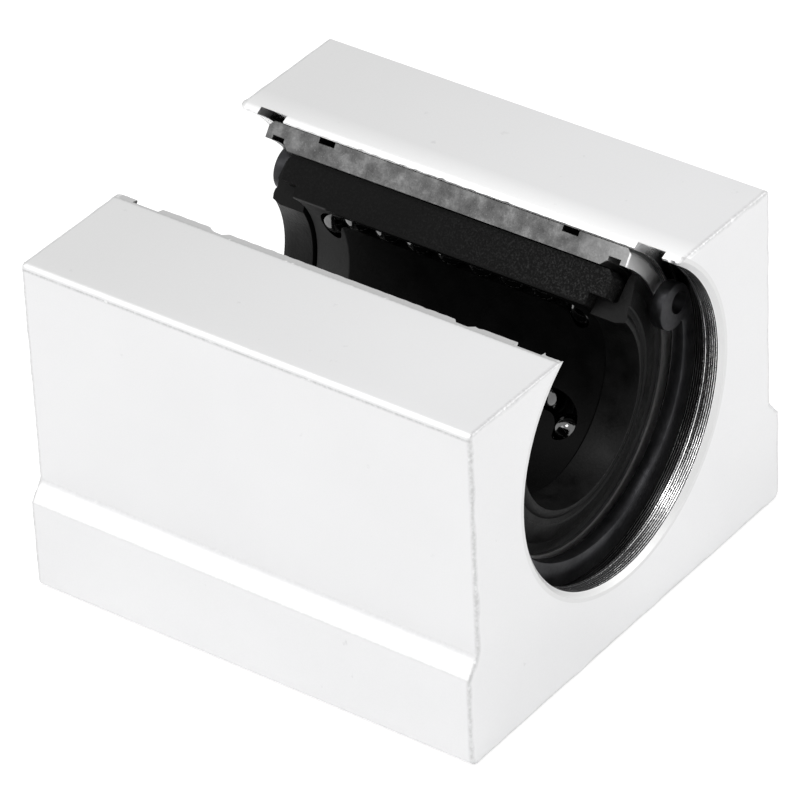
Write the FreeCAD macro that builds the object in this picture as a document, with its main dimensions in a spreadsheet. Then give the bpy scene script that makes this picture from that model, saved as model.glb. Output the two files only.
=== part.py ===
import FreeCAD, Part
import math
import os

import Sketcher

# Open linear bearing block for a 16 mm shaft on a supported rail.
# X runs across the block, Y along the shaft, Z up from the mounting face.
# The aluminium block holds an open ball bushing between two circlips.

os.makedirs("parts", exist_ok=True)
doc = FreeCAD.newDocument("linear_bearing_block")
dims = doc.addObject("Spreadsheet::Sheet", "dims")

DIMENSIONS = {
    # block
    "block_length": 45,
    "flange_width": 45,
    "flange_ledge": 1.35,
    "block_height": 31.8,
    "flange_side": 8.9,
    "shoulder_rise": 1.5,
    "centre_height": 20,
    "seat_diameter": 28,
    "slot_width": 16.4,
    "lip_run": 0.6,
    "lip_drop": 0.3,
    "mouth_bevel": 0.4,
    "groove_inset": 1.9,
    "groove_width": 2.7,
    "groove_depth": 0.7,
    "foot_radius": 0.8,
    "top_radius": 0.5,
    # mounting holes in the foot, cored for M5 threads
    "hole_span_across": 32,
    "hole_span_along": 30,
    "hole_diameter": 4.2,
    "hole_depth": 12,
    "hole_mouth": 5.4,
    # locking screw in the side
    "screw_diameter": 5,
    "screw_recess": 1.13,
    "screw_bevel": 0.4,
    "screw_socket": 2.5,
    "screw_socket_depth": 2.4,
    "screw_play": 0.02,
    # steel sleeve of the bushing
    "bushing_inset": 4,
    "sleeve_wall": 2.1,
    "sleeve_play": 0.01,
    "sleeve_end_bevel": 0.45,
    "ring_mark_inset": 5.25,
    "ring_mark_width": 1.6,
    "ring_mark_depth": 0.5,
    "mouth_depth": 2.5,
    "mouth_wall": 1.6,
    "catch_inset": 0.75,
    "catch_width": 1.15,
    "catch_depth": 0.4,
    "half_opening": 36.5,
    "race_distance": 11.2,
    "race_width": 2.9,
    "race_root": 0.4,
    "race_overrun": 1.3,
    # ball circuits
    "ball_diameter": 3.175,
    "ball_pitch": 3.2,
    "ball_orbit": 9.6,
    "return_orbit": 10.25,
    "row_end_gap": 0.75,
    "lane_end_wall": 2.2,
    "lane_angle": 24,
    "upper_row_angle": 33,
    "lower_row_angle": -39,
    # plastic cage
    "cage_bore": 16.7,
    "cage_inset": 1.9,
    "cage_drift": 0.6,
    "collar_seat": 19,
    "collar_seat_depth": 1.6,
    "cage_play": 0.08,
    "cage_setback": 0.6,
    "cage_end_bevel": 0.5,
    "lane_play": 0.06,
    "race_notch_play": 0.15,
    # rubber end seals
    "seal_bore": 16.1,
    "seal_play": 0.07,
    "seal_rim": 0.8,
    "seal_bulge": 0.8,
    "seal_lip_flare": 0.25,
    "seal_lip_reach": 0.85,
    "seal_lip_height": 0.3,
    "seal_half_opening": 43,
    # circlips
    "ring_thickness": 1.2,
    "ring_diameter": 29.3,
    "ring_waist": 1.75,
    "ring_belly": 2.3,
    "ring_play": 0.05,
    "front_ring_gap": 1.2,
    "lug_radius": 2.1,
    "lug_inset": 0.04,
    "lug_angle": 20,
    "lug_hole": 2.1,
    "lug_hole_inset": 1.55,
    # how far a cutting outline runs past the surface it opens
    "overcut": 1,
}

for row, (alias, number) in enumerate(DIMENSIONS.items(), start=1):
    dims.set(f"A{row}", alias)
    dims.set(f"B{row}", str(number))
    dims.setAlias(f"B{row}", alias)
doc.recompute()

# Lengths that several pieces share, as formulas of the sheet.
SEAT_RADIUS = "dims.seat_diameter / 2"
GROOVE_RADIUS = f"({SEAT_RADIUS} + dims.groove_depth)"
GROOVE_OUTER = "(dims.block_length / 2 - dims.groove_inset)"
GROOVE_INNER = f"({GROOVE_OUTER} - dims.groove_width)"
SHOULDER_TOP = "(dims.flange_side + dims.shoulder_rise)"
# The bushing is as long as the block leaves room for between its circlips.
SLEEVE_END = "(dims.block_length / 2 - dims.bushing_inset)"
CAGE_END = f"({SLEEVE_END} - dims.cage_inset)"
SLEEVE_RADIUS = f"({SEAT_RADIUS} - dims.sleeve_play)"
SLEEVE_BORE = f"({SEAT_RADIUS} - dims.sleeve_wall)"
MOUTH_RADIUS = f"({SEAT_RADIUS} - dims.mouth_wall)"
CATCH_RADIUS = f"({MOUTH_RADIUS} + dims.catch_depth)"
# The sleeve has run back against the rear circlip, and the cage with its seals
# has slid a little forward in it.
BUSHING_Y = f"({GROOVE_OUTER} - dims.ring_thickness - 2 * dims.ring_play - {SLEEVE_END})"
CAGE_Y = f"({BUSHING_Y} - dims.cage_drift)"
TURN_RADIUS = (
    "(sqrt(dims.ball_orbit * dims.ball_orbit + dims.return_orbit * dims.return_orbit"
    " - 2 * dims.ball_orbit * dims.return_orbit * cos(dims.lane_angle)) / 2)"
)
LANE_RADIUS = "(dims.ball_diameter / 2 + dims.lane_play)"
# Where the straight lanes end and the half-round turns begin.
LANE_END = f"({CAGE_END} - dims.lane_end_wall - {TURN_RADIUS} - {LANE_RADIUS})"
# Angles of the four loaded ball rows, seen from the front, and the side on
# which the return lane of each circuit lies.
ROWS = {
    "upper_right": ("dims.upper_row_angle", -1),
    "lower_right": ("dims.lower_row_angle", -1),
    "lower_left": ("(180 - dims.lower_row_angle)", 1),
    "upper_left": ("(180 - dims.upper_row_angle)", 1),
}


def value(formula):
    """Number that a formula of the sheet gives."""
    number = dims.evalExpression(formula)
    return float(getattr(number, "Value", number))


# As many balls as fit in one straight lane: seven at the sizes above.
ROW_BALLS = 1 + int(value(f"2 * ({LANE_END} - dims.row_end_gap) / dims.ball_pitch"))


def origin_plane(body, role):
    for feature in body.Origin.OriginFeatures:
        if feature.Role == role:
            return feature
    raise ValueError(role)


def new_body(name):
    body = doc.addObject("PartDesign::Body", name)
    body.Label = name
    return body


def new_sketch(body, name, role, offset=None):
    """Empty sketch on an origin plane; offset maps x, y, z to formulas."""
    sketch = body.newObject("Sketcher::SketchObject", name)
    sketch.AttachmentSupport = (origin_plane(body, role), [""])
    sketch.MapMode = "FlatFace"
    for letter, formula in (offset or {}).items():
        sketch.setExpression(f"AttachmentOffset.Base.{letter}", formula)
    return sketch


def pin_point(sketch, geometry, point, across, up):
    """Ties one point of a sketch to two formulas measured from its origin."""
    for kind, formula in (("DistanceX", across), ("DistanceY", up)):
        index = sketch.addConstraint(
            Sketcher.Constraint(kind, -1, 1, geometry, point, value(formula))
        )
        sketch.setExpression(f"Constraints[{index}]", formula)


def add_outline(sketch, corners):
    """Closed outline of straight sides through corners given as formulas."""
    places = [FreeCAD.Vector(value(a), value(b), 0) for a, b in corners]
    first = sketch.GeometryCount
    for index, start in enumerate(places):
        sketch.addGeometry(Part.LineSegment(start, places[(index + 1) % len(places)]))
    for index, (across, up) in enumerate(corners):
        following = first + (index + 1) % len(corners)
        sketch.addConstraint(
            Sketcher.Constraint("Coincident", first + index, 2, following, 1)
        )
        pin_point(sketch, first + index, 1, across, up)


def add_circle(sketch, across, up, radius):
    """Circle with its centre and radius given as formulas."""
    centre = FreeCAD.Vector(value(across), value(up), 0)
    circle = sketch.addGeometry(
        Part.Circle(centre, FreeCAD.Vector(0, 0, 1), value(radius))
    )
    pin_point(sketch, circle, 3, across, up)
    index = sketch.addConstraint(Sketcher.Constraint("Radius", circle, value(radius)))
    sketch.setExpression(f"Constraints[{index}]", radius)


def both_ways(body, kind, name, sketch, length):
    """Pad or pocket that runs equally to both sides of its sketch."""
    feature = body.newObject(f"PartDesign::{kind}", name)
    feature.Profile = sketch
    feature.SideType = "Symmetric"
    feature.setExpression("Length", length)
    sketch.Visibility = False
    doc.recompute()
    return feature


def turned(body, kind, name, sketch):
    """Revolution or groove of a sketch about its own horizontal axis."""
    feature = body.newObject(f"PartDesign::{kind}", name)
    feature.Profile = sketch
    feature.ReferenceAxis = (sketch, ["H_Axis"])
    feature.Angle = 360
    sketch.Visibility = False
    doc.recompute()
    return feature


def rounded(body, name, base, edges, radius):
    feature = body.newObject("PartDesign::Fillet", name)
    feature.Base = (base, edges)
    feature.setExpression("Radius", radius)
    doc.recompute()
    return feature


def long_edges(shape, x_place, z_place):
    """Names of the edges along Y that lie at a given |x| and z."""
    found = []
    for number, edge in enumerate(shape.Edges, start=1):
        box = edge.BoundBox
        level = abs(box.ZMax - z_place) < 1e-4 and box.ZLength < 1e-4
        side = abs(abs(box.Center.x) - x_place) < 1e-4 and box.XLength < 1e-4
        if level and side and box.YLength > 1:
            found.append(f"Edge{number}")
    return found


def bushing_frame(role, middle=BUSHING_Y):
    """Sketch offset that puts a sketch's origin on the bushing's axis."""
    if role == "YZ_Plane":
        return {"x": middle, "y": "dims.centre_height"}
    return {"y": "dims.centre_height", "z": f"-{middle}"}


def cut_opening(body, name, half_angle, setback="0", offset=None):
    """Cuts a wedge with radial faces out of the top of a round piece."""
    reach = "(dims.seat_diameter)"
    apex = f"({setback} / sin({half_angle}))"
    sketch = new_sketch(body, f"{name}_sketch", "XZ_Plane", offset or bushing_frame("XZ_Plane"))
    side = f"({reach} * tan({half_angle}))"
    apex_height = f"(0 - {apex})"
    top = f"({reach} - {apex})"
    add_outline(sketch, [("0", apex_height), (side, top), (f"-{side}", top)])
    return both_ways(body, "Pocket", name, sketch, "dims.block_length * 2")


def turn_about_axis(angle, distance, sideways):
    """Formulas of a point at a distance along a ray and beside it."""
    across = f"({distance} * cos({angle}) - {sideways} * sin({angle}))"
    up = f"({distance} * sin({angle}) + {sideways} * cos({angle}))"
    return across, up


def add_race_outlines(sketch, inner, outer, half_width):
    """Rectangle at each loaded row, between two distances from the axis."""
    for angle, side in ROWS.values():
        corners = []
        for distance, edge in ((inner, -1), (outer, -1), (outer, 1), (inner, 1)):
            corners.append(turn_about_axis(angle, distance, f"({edge} * {half_width})"))
        add_outline(sketch, corners)


def circuit_placement(name):
    """Frame of a ball circuit: local X points from its middle line to the
    loaded row, local Z away from the shaft and local Y along it."""
    angle, side = ROWS[name]
    loaded = math.radians(value(angle))
    back = loaded + side * math.radians(value("dims.lane_angle"))
    loaded_row = value("dims.ball_orbit") * FreeCAD.Vector(math.cos(loaded), 0, math.sin(loaded))
    return_row = value("dims.return_orbit") * FreeCAD.Vector(math.cos(back), 0, math.sin(back))
    across = loaded_row - return_row
    across.normalize()
    along = FreeCAD.Vector(0, side, 0)
    axis_point = FreeCAD.Vector(0, value(CAGE_Y), value("dims.centre_height"))
    middle = axis_point + (loaded_row + return_row) * 0.5
    rotation = FreeCAD.Rotation(across, along, across.cross(along), "XYZ")
    return FreeCAD.Placement(middle, rotation)


# Housing: an extruded aluminium section, bored for the bushing.
housing = new_body("housing")
section = new_sketch(housing, "housing_section", "XZ_Plane")
half_flange = "(dims.flange_width / 2)"
half_body = f"({half_flange} - dims.flange_ledge)"
right_side = [
    (half_flange, "0"),
    (half_flange, "dims.flange_side"),
    (half_body, SHOULDER_TOP),
    (half_body, "dims.block_height"),
]
left_side = [(f"-{across}", up) for across, up in reversed(right_side)]
add_outline(section, right_side + left_side)
both_ways(housing, "Pad", "housing_blank", section, "dims.block_length")

seat_sketch = new_sketch(housing, "seat_sketch", "XZ_Plane")
add_circle(seat_sketch, "0", "dims.centre_height", SEAT_RADIUS)
both_ways(housing, "Pocket", "bushing_seat", seat_sketch, "dims.block_length * 2")

slot_sketch = new_sketch(housing, "slot_sketch", "XZ_Plane")
half_slot = "(dims.slot_width / 2)"
half_mouth = "(dims.slot_width / 2 + dims.lip_run)"
lip_foot = "(dims.block_height - dims.lip_drop)"
slot_right = [
    (half_slot, "dims.centre_height"),
    (half_slot, lip_foot),
    (half_mouth, "dims.block_height"),
    (half_mouth, "(dims.block_height + dims.overcut)"),
]
slot_left = [(f"-{across}", up) for across, up in reversed(slot_right)]
add_outline(slot_sketch, slot_right + slot_left)
both_ways(housing, "Pocket", "rail_slot", slot_sketch, "dims.block_length * 2")

seat_frame = {"y": "dims.centre_height"}
grooves = new_sketch(housing, "circlip_groove_sketch", "YZ_Plane", seat_frame)
inside = f"({SEAT_RADIUS} - dims.overcut)"
for sign in (-1, 1):
    add_outline(grooves, [
        (f"({sign} * {GROOVE_INNER})", inside),
        (f"({sign} * {GROOVE_OUTER})", inside),
        (f"({sign} * {GROOVE_OUTER})", GROOVE_RADIUS),
        (f"({sign} * {GROOVE_INNER})", GROOVE_RADIUS),
    ])
turned(housing, "Groove", "circlip_grooves", grooves)

mouths = new_sketch(housing, "seat_mouth_sketch", "YZ_Plane", seat_frame)
for sign in (-1, 1):
    add_outline(mouths, [
        (f"({sign} * (dims.block_length / 2 - dims.mouth_bevel))", SEAT_RADIUS),
        (f"({sign} * (dims.block_length / 2 - dims.mouth_bevel))", inside),
        (f"({sign} * (dims.block_length / 2 + dims.mouth_bevel))", inside),
        (f"({sign} * (dims.block_length / 2 + dims.mouth_bevel))",
         f"({SEAT_RADIUS} + 2 * dims.mouth_bevel)"),
    ])
turned(housing, "Groove", "seat_mouths", mouths)

screw_hole = new_sketch(housing, "screw_hole_sketch", "YZ_Plane")
add_circle(screw_hole, "0", "dims.centre_height", "dims.screw_diameter / 2")
screw_pocket = housing.newObject("PartDesign::Pocket", "screw_hole")
screw_pocket.Profile = screw_hole
screw_pocket.Reversed = True
screw_pocket.setExpression("Length", "dims.flange_width")
screw_hole.Visibility = False
doc.recompute()

foot_sketch = new_sketch(housing, "foot_hole_sketch", "XY_Plane")
for side in (-1, 1):
    for end in (-1, 1):
        add_circle(
            foot_sketch,
            f"({side} * dims.hole_span_across / 2)",
            f"({end} * dims.hole_span_along / 2)",
            "dims.hole_diameter / 2",
        )
doc.recompute()
foot_holes = housing.newObject("PartDesign::Hole", "mounting_holes")
foot_holes.Profile = foot_sketch
foot_holes.Reversed = True
foot_holes.ThreadType = "None"
foot_holes.setExpression("Diameter", "dims.hole_diameter")
foot_holes.DepthType = "Dimension"
foot_holes.setExpression("Depth", "dims.hole_depth")
foot_holes.DrillPoint = "Angled"
foot_holes.HoleCutType = "Countersink"
foot_holes.HoleCutCustomValues = True
foot_holes.setExpression("HoleCutDiameter", "dims.hole_mouth")
foot_holes.HoleCutCountersinkAngle = 90
foot_sketch.Visibility = False
doc.recompute()

foot_edges = long_edges(foot_holes.Shape, value(half_flange), 0)
foot_round = rounded(housing, "foot_rounding", foot_holes, foot_edges, "dims.foot_radius")
top_edges = long_edges(foot_round.Shape, value(half_body), value("dims.block_height"))
rounded(housing, "top_rounding", foot_round, top_edges, "dims.top_radius")

# Steel sleeve: turned tube with circlip grooves outside, a thinner mouth at
# each end with a catch groove for the seal, and four ground races inside.
bearing_sleeve = new_body("bearing_sleeve")
wall = new_sketch(bearing_sleeve, "sleeve_profile", "YZ_Plane", bushing_frame("YZ_Plane"))
mark_outer = f"({SLEEVE_END} - dims.ring_mark_inset)"
mark_inner = f"({mark_outer} - dims.ring_mark_width)"
mark_floor = f"({SLEEVE_RADIUS} - dims.ring_mark_depth)"
mouth_foot = f"({SLEEVE_END} - dims.mouth_depth)"
taper_top = f"({mouth_foot} + {MOUTH_RADIUS} - {SLEEVE_BORE})"
catch_outer = f"({SLEEVE_END} - dims.catch_inset)"
catch_inner = f"({catch_outer} - dims.catch_width)"
half_profile = [
    (mark_inner, SLEEVE_RADIUS),
    (mark_inner, mark_floor),
    (mark_outer, mark_floor),
    (mark_outer, SLEEVE_RADIUS),
    (f"({SLEEVE_END} - dims.sleeve_end_bevel)", SLEEVE_RADIUS),
    (SLEEVE_END, f"({SLEEVE_RADIUS} - dims.sleeve_end_bevel)"),
    (SLEEVE_END, MOUTH_RADIUS),
    (catch_outer, MOUTH_RADIUS),
    (catch_outer, CATCH_RADIUS),
    (catch_inner, CATCH_RADIUS),
    (catch_inner, MOUTH_RADIUS),
    (taper_top, MOUTH_RADIUS),
    (mouth_foot, SLEEVE_BORE),
]
other_half = [(f"-{axial}", radial) for axial, radial in reversed(half_profile)]
add_outline(wall, half_profile + other_half)
turned(bearing_sleeve, "Revolution", "sleeve_tube", wall)
races = new_sketch(bearing_sleeve, "race_sketch", "XZ_Plane", bushing_frame("XZ_Plane"))
race_back = f"({SLEEVE_BORE} + dims.race_root)"
add_race_outlines(races, "dims.race_distance", race_back, "dims.race_width / 2")
both_ways(bearing_sleeve, "Pad", "ball_races", races, f"2 * ({LANE_END} + dims.race_overrun)")
cut_opening(bearing_sleeve, "sleeve_opening", "dims.half_opening")

# Plastic cage: a tube that fills the sleeve, notched for the races, with four
# endless lanes for the balls and a counterbore at each end for the seal's
# collar. The lanes break through its bore at the loaded rows, where the balls
# reach the shaft.
cage_body = new_body("cage_body")
tube = new_sketch(cage_body, "cage_profile", "YZ_Plane", bushing_frame("YZ_Plane", CAGE_Y))
cage_outer = f"({SLEEVE_BORE} - dims.cage_play)"
cage_inner = "(dims.cage_bore / 2)"
collar_seat = f"({CAGE_END} - dims.collar_seat_depth)"
cage_half = [
    (f"({CAGE_END} - dims.cage_end_bevel)", cage_outer),
    (CAGE_END, f"({cage_outer} - dims.cage_end_bevel)"),
    (CAGE_END, "dims.collar_seat / 2"),
    (collar_seat, "dims.collar_seat / 2"),
    (collar_seat, cage_inner),
]
cage_other = [(f"-{axial}", radial) for axial, radial in reversed(cage_half)]
add_outline(tube, cage_half + cage_other)
turned(cage_body, "Revolution", "cage_tube", tube)
notches = new_sketch(cage_body, "race_notch_sketch", "XZ_Plane", bushing_frame("XZ_Plane", CAGE_Y))
notch_floor = "(dims.race_distance - dims.race_notch_play)"
notch_half = "(dims.race_width / 2 + dims.race_notch_play)"
add_race_outlines(notches, notch_floor, f"({SLEEVE_BORE} + dims.overcut)", notch_half)
notch_length = (
    f"2 * ({LANE_END} + dims.race_overrun + dims.cage_drift + dims.race_notch_play)"
)
both_ways(cage_body, "Pocket", "race_notches", notches, notch_length)
cut_opening(cage_body, "cage_opening", "dims.half_opening", "dims.cage_setback")

# One lane is cut with an eight-sided trough whose sides touch the clearance
# circle of the ball: straight past both rows and turned half round at the ends.
lane_tool = new_body("lane_tool")
trough_top = f"({SEAT_RADIUS} - dims.ball_orbit)"
trough_corner = f"({LANE_RADIUS} * tan(22.5))"


def trough_corners(middle):
    """Half of an octagon under a ball, open towards the sleeve."""
    return [
        (f"({middle} - {LANE_RADIUS})", trough_top),
        (f"({middle} - {LANE_RADIUS})", f"-{trough_corner}"),
        (f"({middle} - {trough_corner})", f"-{LANE_RADIUS}"),
        (f"({middle} + {trough_corner})", f"-{LANE_RADIUS}"),
        (f"({middle} + {LANE_RADIUS})", f"-{trough_corner}"),
        (f"({middle} + {LANE_RADIUS})", trough_top),
    ]


troughs = new_sketch(lane_tool, "trough_sketch", "XZ_Plane")
add_outline(troughs, trough_corners(TURN_RADIUS))
add_outline(troughs, trough_corners(f"(0 - {TURN_RADIUS})"))
both_ways(lane_tool, "Pad", "straight_troughs", troughs, f"2 * {LANE_END}")
for name, sign in (("far_bend", -1), ("near_bend", 1)):
    bend_sketch = new_sketch(
        lane_tool, f"{name}_sketch", "XZ_Plane", {"z": f"({sign} * {LANE_END})"}
    )
    add_outline(bend_sketch, trough_corners(TURN_RADIUS))
    bend = lane_tool.newObject("PartDesign::Revolution", name)
    bend.Profile = bend_sketch
    bend.ReferenceAxis = (bend_sketch, ["V_Axis"])
    bend.Angle = 180
    bend.Reversed = sign > 0
    bend_sketch.Visibility = False
doc.recompute()
lane_copies = []
for name in ROWS:
    copy = doc.addObject("Part::Compound", f"{name}_lane")
    copy.Links = [lane_tool]
    copy.Placement = circuit_placement(name)
    lane_copies.append(copy)
all_lanes = doc.addObject("Part::Compound", "all_lanes")
all_lanes.Links = lane_copies
ball_cage = doc.addObject("Part::Cut", "ball_cage")
ball_cage.Base = cage_body
ball_cage.Tool = all_lanes
doc.recompute()

# Balls: one set of spheres in a circuit's own frame, placed four times.
ball_sets = {"loaded_balls": [], "return_balls": [], "near_turn_ball": [], "far_turn_ball": []}


def add_ball(group, number, across, along):
    ball = doc.addObject("Part::Sphere", f"{group}_{number}")
    ball.setExpression("Radius", "dims.ball_diameter / 2")
    ball.setExpression("Placement.Base.x", across)
    ball.setExpression("Placement.Base.y", along)
    ball_sets[group].append(ball)


for number in range(ROW_BALLS):
    along = f"{number - (ROW_BALLS - 1) / 2} * dims.ball_pitch"
    add_ball("loaded_balls", number, TURN_RADIUS, along)
    add_ball("return_balls", number, f"-{TURN_RADIUS}", along)
add_ball("near_turn_ball", 0, "0", f"-({LANE_END} + {TURN_RADIUS})")
add_ball("far_turn_ball", 0, "0", f"{LANE_END} + {TURN_RADIUS}")
# Which end of the block a circuit's local Y reaches depends on its side.
TURN_ENDS = {1: ("front", "rear"), -1: ("rear", "front")}
ball_groups = []
for name, (angle, side) in ROWS.items():
    near_end, far_end = TURN_ENDS[side]
    for group, spheres in ball_sets.items():
        label = group.replace("near", near_end).replace("far", far_end)
        balls = doc.addObject("Part::Compound", f"{name}_{label}")
        balls.Links = spheres
        balls.Placement = circuit_placement(name)
        ball_groups.append(balls)
doc.recompute()

# Rubber seals: C-shaped wipers in the sleeve's mouths. A collar reaches into
# the cage, and the dished face carries the lip that wipes the shaft.
collar_end = f"({collar_seat} + 2 * dims.seal_play)"
seal_back = f"({CAGE_END} + 2 * dims.seal_play)"
seal_face = f"({seal_back} + dims.seal_rim)"
lip_edge = f"({seal_face} + dims.seal_bulge)"
seal_outer = f"({MOUTH_RADIUS} - dims.seal_play)"
# Behind its rim the seal is bevelled like the taper of the mouth.
rim_back = f"({taper_top} + dims.cage_drift + dims.seal_play)"
bevel_foot = f"({seal_outer} - ({rim_back} - {seal_back}))"
collar_outer = "(dims.collar_seat / 2 - dims.seal_play)"
lip = "(dims.seal_bore / 2)"
seal_profile = [
    (collar_end, lip),
    (f"({lip_edge} - dims.seal_lip_reach)", lip),
    (lip_edge, f"({lip} + dims.seal_lip_flare)"),
    (lip_edge, f"({lip} + dims.seal_lip_flare + dims.seal_lip_height)"),
    (seal_face, seal_outer),
    (rim_back, seal_outer),
    (seal_back, bevel_foot),
    (seal_back, collar_outer),
    (collar_end, collar_outer),
]
seals = []
for name, sign in (("front_seal", -1), ("rear_seal", 1)):
    seal = new_body(name)
    section = new_sketch(
        seal, f"{name}_profile", "YZ_Plane", bushing_frame("YZ_Plane", CAGE_Y)
    )
    add_outline(section, [(f"({sign} * {axial})", radial) for axial, radial in seal_profile])
    turned(seal, "Revolution", f"{name}_disc", section)
    cut_opening(seal, f"{name}_opening", "dims.seal_half_opening")
    seals.append(seal)

# Circlips: punched spring rings, widest opposite the opening, with a lug and
# an eye for the pliers at each end.
ring_radius = "(dims.ring_diameter / 2)"
belly_shift = "(dims.ring_belly - dims.ring_waist)"
ring_bore = f"({ring_radius} - dims.ring_belly + {belly_shift})"
lug_orbit = f"({ring_radius} - dims.lug_radius - dims.lug_inset)"
eye_orbit = f"({ring_radius} - dims.lug_hole_inset)"
ring_middles = {
    "front_circlip": f"({GROOVE_OUTER} - dims.front_ring_gap - dims.ring_thickness / 2)",
    "rear_circlip": f"-({GROOVE_OUTER} - dims.ring_play - dims.ring_thickness / 2)",
}
circlips = []
for name, middle in ring_middles.items():
    circlip = new_body(name)
    ring_frame = {"y": "dims.centre_height", "z": middle}
    ring = new_sketch(circlip, f"{name}_ring_sketch", "XZ_Plane", ring_frame)
    add_circle(ring, "0", "0", ring_radius)
    add_circle(ring, "0", belly_shift, ring_bore)
    both_ways(circlip, "Pad", f"{name}_ring", ring, "dims.ring_thickness")
    cut_opening(circlip, f"{name}_gap", "(90 - dims.lug_angle)", "0", ring_frame)
    lugs = new_sketch(circlip, f"{name}_lug_sketch", "XZ_Plane", ring_frame)
    eyes = new_sketch(circlip, f"{name}_eye_sketch", "XZ_Plane", ring_frame)
    for side in (-1, 1):
        for sketch, orbit, radius in (
            (lugs, lug_orbit, "dims.lug_radius"),
            (eyes, eye_orbit, "dims.lug_hole / 2"),
        ):
            across = f"({side} * {orbit} * cos(dims.lug_angle))"
            add_circle(sketch, across, f"({orbit} * sin(dims.lug_angle))", radius)
    both_ways(circlip, "Pad", f"{name}_lugs", lugs, "dims.ring_thickness")
    both_ways(circlip, "Pocket", f"{name}_eyes", eyes, "dims.ring_thickness * 2")
    circlips.append(circlip)

# Locking screw: a socket set screw that bears on the sleeve.
set_screw = new_body("set_screw")
screw_tip = f"({SEAT_RADIUS} + dims.screw_play)"
screw_head = f"({half_body} - dims.screw_recess)"
screw_radius = "(dims.screw_diameter / 2 - dims.screw_play)"
screw_bevel = f"({screw_radius} - dims.screw_bevel)"
screw_profile = new_sketch(set_screw, "set_screw_profile", "XZ_Plane", {"y": "dims.centre_height"})
add_outline(screw_profile, [
    (screw_tip, "0"),
    (screw_tip, screw_bevel),
    (f"({screw_tip} + dims.screw_bevel)", screw_radius),
    (f"({screw_head} - dims.screw_bevel)", screw_radius),
    (screw_head, screw_bevel),
    (screw_head, "0"),
])
turned(set_screw, "Revolution", "screw_shank", screw_profile)
socket = new_sketch(
    set_screw, "socket_sketch", "YZ_Plane", {"y": "dims.centre_height", "z": screw_head}
)
flat_corner = "(dims.screw_socket / sqrt(3))"
add_outline(socket, [
    (f"({flat_corner} * cos({angle}))", f"({flat_corner} * sin({angle}))")
    for angle in range(0, 360, 60)
])
socket_pocket = set_screw.newObject("PartDesign::Pocket", "hex_socket")
socket_pocket.Profile = socket
socket_pocket.setExpression("Length", "dims.screw_socket_depth")
socket.Visibility = False
doc.recompute()

pieces = [housing, bearing_sleeve, ball_cage, *seals, *circlips, set_screw, *ball_groups]
for item in doc.Objects:
    if {"Invalid", "Error"} & set(item.State):
        raise RuntimeError(f"{item.Name} did not compute: {item.State}")
for piece in pieces:
    piece.Label = piece.Name
    if piece.Shape.isNull() or not piece.Shape.isValid():
        raise RuntimeError(f"{piece.Name} has no valid shape")
    piece.Shape.exportStep(f"parts/{piece.Label}.step")
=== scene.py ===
import math

import bmesh
import bpy
import numpy as np
from mathutils import Matrix, Vector
from mathutils.geometry import delaunay_2d_cdt


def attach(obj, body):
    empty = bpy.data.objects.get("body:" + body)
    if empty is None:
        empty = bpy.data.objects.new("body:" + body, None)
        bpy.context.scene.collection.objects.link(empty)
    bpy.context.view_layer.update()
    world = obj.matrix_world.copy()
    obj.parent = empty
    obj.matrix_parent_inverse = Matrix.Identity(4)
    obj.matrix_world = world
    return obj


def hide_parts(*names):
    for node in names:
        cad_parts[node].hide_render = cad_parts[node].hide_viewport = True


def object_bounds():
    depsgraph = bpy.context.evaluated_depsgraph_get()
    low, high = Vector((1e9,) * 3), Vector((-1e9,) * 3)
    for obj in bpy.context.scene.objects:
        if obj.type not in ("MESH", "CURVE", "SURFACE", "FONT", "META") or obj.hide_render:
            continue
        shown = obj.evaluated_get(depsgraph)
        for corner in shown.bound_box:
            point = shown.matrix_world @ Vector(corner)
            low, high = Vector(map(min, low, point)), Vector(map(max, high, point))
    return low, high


# Open linear bearing block for a 16 mm shaft on a support rail.
# X runs across the block, Y along the shaft, Z up from the mounting face.
# Shapes are in millimetres, and MM turns them into metres. The depths of
# relief in the finishes are in metres.
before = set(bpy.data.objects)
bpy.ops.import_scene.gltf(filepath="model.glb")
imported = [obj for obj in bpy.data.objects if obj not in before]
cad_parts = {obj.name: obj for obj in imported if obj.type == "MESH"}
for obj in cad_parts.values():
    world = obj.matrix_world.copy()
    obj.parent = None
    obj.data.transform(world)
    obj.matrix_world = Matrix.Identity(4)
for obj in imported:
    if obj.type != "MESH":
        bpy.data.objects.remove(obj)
cad_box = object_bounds()
cad_box = [list(corner) for corner in cad_box]
MM = 0.001


# ------------------------------------------------------------------ block
# The block is a length of extruded aluminium, sand-blasted and anodised. Its
# seat for the bushing is bored from the end, and the slot for the rail, the
# two circlip grooves and the tapped holes are cut after that.
half_length = 22.5
half_flange = 22.5
half_body = 21.15
block_top = 31.8
shaft_height = 20.0
seat_radius = 14.0
groove_radius = 14.7
groove_outer = 20.6
groove_inner = 17.9
mouth_bevel_foot = 22.1
bore_faces = 180
half_slot = 8.2
# Run and drop of the two lips; the left one was milled a little flatter.
right_lip = (0.6, 0.3)
left_lip = (0.85, 0.2)


def run_through(corners, *steps):
    """Points along straight lines from corner to corner, with a number of
    even steps on each line: corner plus a share of the way to the next."""
    corners = np.array(corners, float)
    return np.concatenate([
        start + (end - start) * np.arange(count)[:, None] / count
        for start, end, count in zip(corners[:-1], corners[1:], steps)
    ])


def arc(centre, radius, first, last, steps):
    """Points on an arc: centre plus radius times cosine and sine of angles
    in even steps from first to last, in degrees, the last one left out."""
    angle = np.radians(first + (last - first) * np.arange(steps) / steps)
    return np.stack([centre[0] + radius * np.cos(angle), centre[1] + radius * np.sin(angle)], axis=1)


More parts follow.
